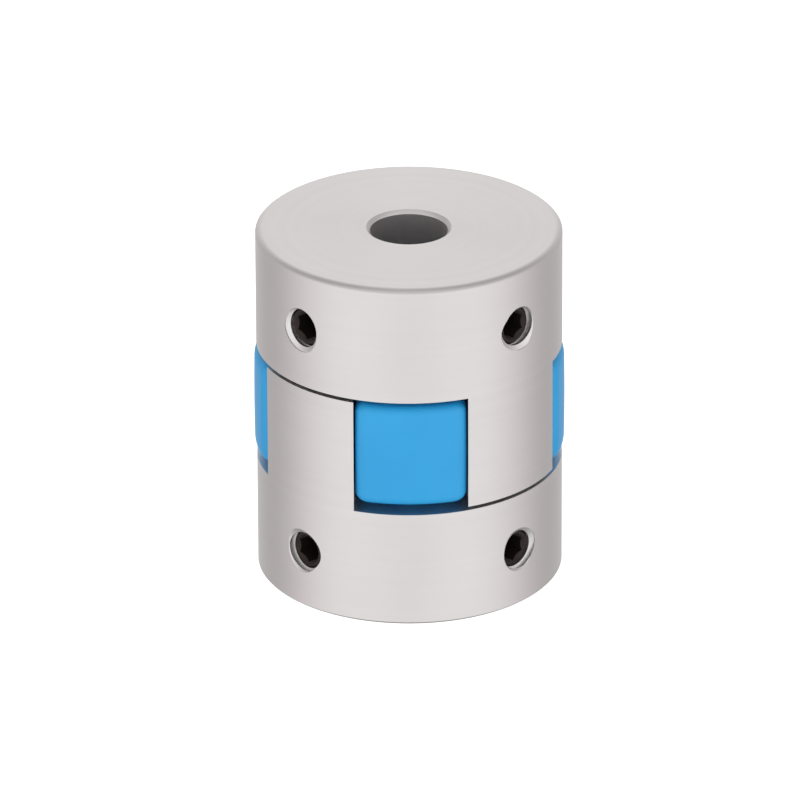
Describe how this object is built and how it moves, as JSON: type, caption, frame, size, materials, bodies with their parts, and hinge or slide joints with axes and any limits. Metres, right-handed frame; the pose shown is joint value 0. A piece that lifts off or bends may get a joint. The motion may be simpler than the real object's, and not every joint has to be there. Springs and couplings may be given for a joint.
{
  "type": "jaw coupling",
  "caption": "Jaw coupling for two shafts in line: aluminium hubs with interlocking jaws, an elastic spider between them and radial set screws.",
  "frame": {"origin": "centre of the lower end face, on the shaft axis", "axes": "+Z along the shaft axis from the lower hub to the upper hub; -Y is the front, where one spider leg shows between the set screws; +X to the right"},
  "size_m": [0.0254, 0.0254, 0.03],
  "materials": {
    "hub": "satin, clear anodised",
    "spider": "moulded polyurethane, slightly glossy",
    "set_screw": "black oxide"
  },
  "bodies": {
    "lower_hub": {"lower_hub": "hub"},
    "spider": {"spider": "spider"},
    "upper_hub": {"upper_hub": "hub"},
    "lower_set_screw_left": {"lower_set_screw_left": "set_screw"},
    "lower_set_screw_right": {"lower_set_screw_right": "set_screw"},
    "upper_set_screw_left": {"upper_set_screw_left": "set_screw"},
    "upper_set_screw_right": {"upper_set_screw_right": "set_screw"}
  },
  "joints": [
    {"name": "spider_windup", "type": "hinge", "parent": "lower_hub", "child": "spider", "pos_m": [0, 0, 0.015], "axis": [0, 0, 1], "range_deg": [-0.5, 0.5], "stiffness_Nm_per_rad": 20},
    {"name": "upper_hub_plug_in", "type": "slide", "parent": "spider", "child": "upper_hub", "axis": [0, 0, 1], "range_m": [0, 0.012]},
    {"name": "lower_set_screw_left_travel", "type": "slide", "parent": "lower_hub", "child": "lower_set_screw_left", "axis": [-0.7071, -0.7071, 0], "range_m": [-0.0007, 0.0084]},
    {"name": "lower_set_screw_right_travel", "type": "slide", "parent": "lower_hub", "child": "lower_set_screw_right", "axis": [0.7071, -0.7071, 0], "range_m": [-0.0007, 0.0084]},
    {"name": "upper_set_screw_left_travel", "type": "slide", "parent": "upper_hub", "child": "upper_set_screw_left", "axis": [-0.7071, -0.7071, 0], "range_m": [-0.0007, 0.0084]},
    {"name": "upper_set_screw_right_travel", "type": "slide", "parent": "upper_hub", "child": "upper_set_screw_right", "axis": [0.7071, -0.7071, 0], "range_m": [-0.0007, 0.0084]}
  ]
}
